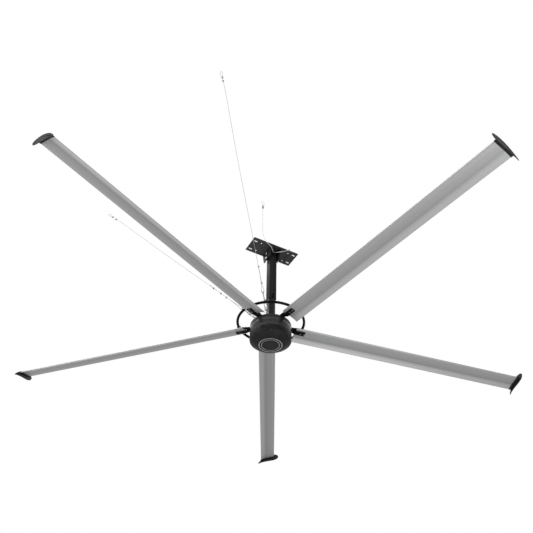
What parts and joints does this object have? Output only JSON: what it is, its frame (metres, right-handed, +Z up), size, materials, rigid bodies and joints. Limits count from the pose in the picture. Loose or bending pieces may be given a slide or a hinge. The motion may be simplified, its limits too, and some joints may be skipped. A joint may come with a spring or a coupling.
{
  "type": "industrial ceiling fan",
  "caption": "Large slow ceiling fan for halls: long hollow aluminium blades with black end plates on a hub motor, hung from a square downrod with guy wires and a safety cable.",
  "frame": {"origin": "centre of the ceiling plate's top face, where it meets the beam or ceiling", "axes": "+Z up, along the downrod and the fan's axis of turn; +X along the ceiling plate's long side; the blades lie in a plane 1.02 m below the origin"},
  "size_m": [5.2694, 5.2422, 2.1581],
  "materials": {
    "black_paint": "satin black powder coat",
    "satin_grey_paint": "satin dark grey powder coat",
    "black_plastic": "moulded black nylon, matte",
    "anodised_aluminium": "extruded aluminium, satin anodised, fine lines along the blade",
    "zinc_plated_steel": "bright zinc plate",
    "wire_rope": "galvanised wire rope, seven strands",
    "machined_steel": "ground bearing and shaft steel",
    "core_steel": "stacked electrical steel, thin varnish",
    "magnet_nickel": "nickel-plated magnet blocks",
    "copper_winding": "enamelled copper wire",
    "seal_rubber": "black nitrile rubber"
  },
  "bodies": {
    "mount": {"ceiling_plate": "black_paint", "hanger_bracket": "black_paint", "hanger_bolts": "zinc_plated_steel", "hanger_spacers": "black_paint", "rod_nuts": "zinc_plated_steel", "rod_washers": "zinc_plated_steel", "downrod": "black_paint", "rod_coupling": "black_paint", "coupling_bolts": "black_paint", "flange_bolts": "zinc_plated_steel", "cable_gland": "black_plastic", "guy_anchor": "black_paint", "turnbuckle_jaws": "zinc_plated_steel", "jaw_pins": "zinc_plated_steel", "stator_shaft": "machined_steel", "stator_core": "core_steel", "stator_windings": "copper_winding", "bearing_inner_rings": "machined_steel", "shaft_nut": "zinc_plated_steel", "safety_cable": "wire_rope", "safety_clips": "zinc_plated_steel", "safety_terminal": "zinc_plated_steel"},
    "bearing_cages": {"bearing_balls": "machined_steel"},
    "rotor": {"rotor_housing": "satin_grey_paint", "top_cover": "black_paint", "bottom_cover": "black_paint", "bottom_disc": "black_paint", "bearing_outer_rings": "machined_steel", "rotor_yoke": "machined_steel", "rotor_magnets": "magnet_nickel", "shaft_seal": "seal_rubber", "cover_screws": "zinc_plated_steel", "blade_arms": "black_paint", "arm_bolts": "zinc_plated_steel", "clamp_plates": "black_paint", "blade_bushes": "zinc_plated_steel", "blade_bolts": "black_paint", "blade_nuts": "zinc_plated_steel", "safety_ring": "black_paint", "ring_saddles": "black_paint", "ring_u_bolts": "zinc_plated_steel", "blade_1": "anodised_aluminium", "blade_2": "anodised_aluminium", "blade_3": "anodised_aluminium", "blade_4": "anodised_aluminium", "blade_5": "anodised_aluminium", "winglet_1": "black_plastic", "winglet_2": "black_plastic", "winglet_3": "black_plastic", "winglet_4": "black_plastic", "winglet_5": "black_plastic", "winglet_screws": "black_paint"},
    "frame_a": {"turnbuckle_frame_a": "zinc_plated_steel"},
    "frame_b": {"turnbuckle_frame_b": "zinc_plated_steel"},
    "wire_a": {"screw_eye_a": "zinc_plated_steel", "guy_wire_a": "wire_rope", "wire_fittings_a": "zinc_plated_steel"},
    "wire_b": {"screw_eye_b": "zinc_plated_steel", "guy_wire_b": "wire_rope", "wire_fittings_b": "zinc_plated_steel"}
  },
  "joints": [
    {"name": "rotor_spin", "type": "hinge", "parent": "mount", "child": "rotor", "pos_m": [0, 0, -1.08], "axis": [0, 0, 1], "continuous": true},
    {"name": "cage_spin", "type": "hinge", "parent": "mount", "child": "bearing_cages", "pos_m": [0, 0, -1.08], "axis": [0, 0, 1], "continuous": true},
    {"name": "turnbuckle_turn_a", "type": "hinge", "parent": "mount", "child": "frame_a", "pos_m": [-0.07616, -0.07228, -0.954], "axis": [-0.4663, -0.4425, 0.766], "range_deg": [-1442, 1442]},
    {"name": "wire_draw_a", "type": "slide", "parent": "mount", "child": "wire_a", "axis": [-0.4663, -0.4425, 0.766], "range_m": [-0.012, 0.012]},
    {"name": "turnbuckle_turn_b", "type": "hinge", "parent": "mount", "child": "frame_b", "pos_m": [-0.09516, 0.04437, -0.954], "axis": [-0.7043, 0.3284, 0.6293], "range_deg": [-1442, 1442]},
    {"name": "wire_draw_b", "type": "slide", "parent": "mount", "child": "wire_b", "axis": [-0.7043, 0.3284, 0.6293], "range_m": [-0.012, 0.012]}
  ],
  "couplings": [
    {"joint": "cage_spin", "follows": "rotor_spin", "ratio": 0.567},
    {"joint": "turnbuckle_turn_a", "follows": "wire_draw_a", "rad_per_m": -2096.4},
    {"joint": "turnbuckle_turn_b", "follows": "wire_draw_b", "rad_per_m": -2096.4}
  ]
}
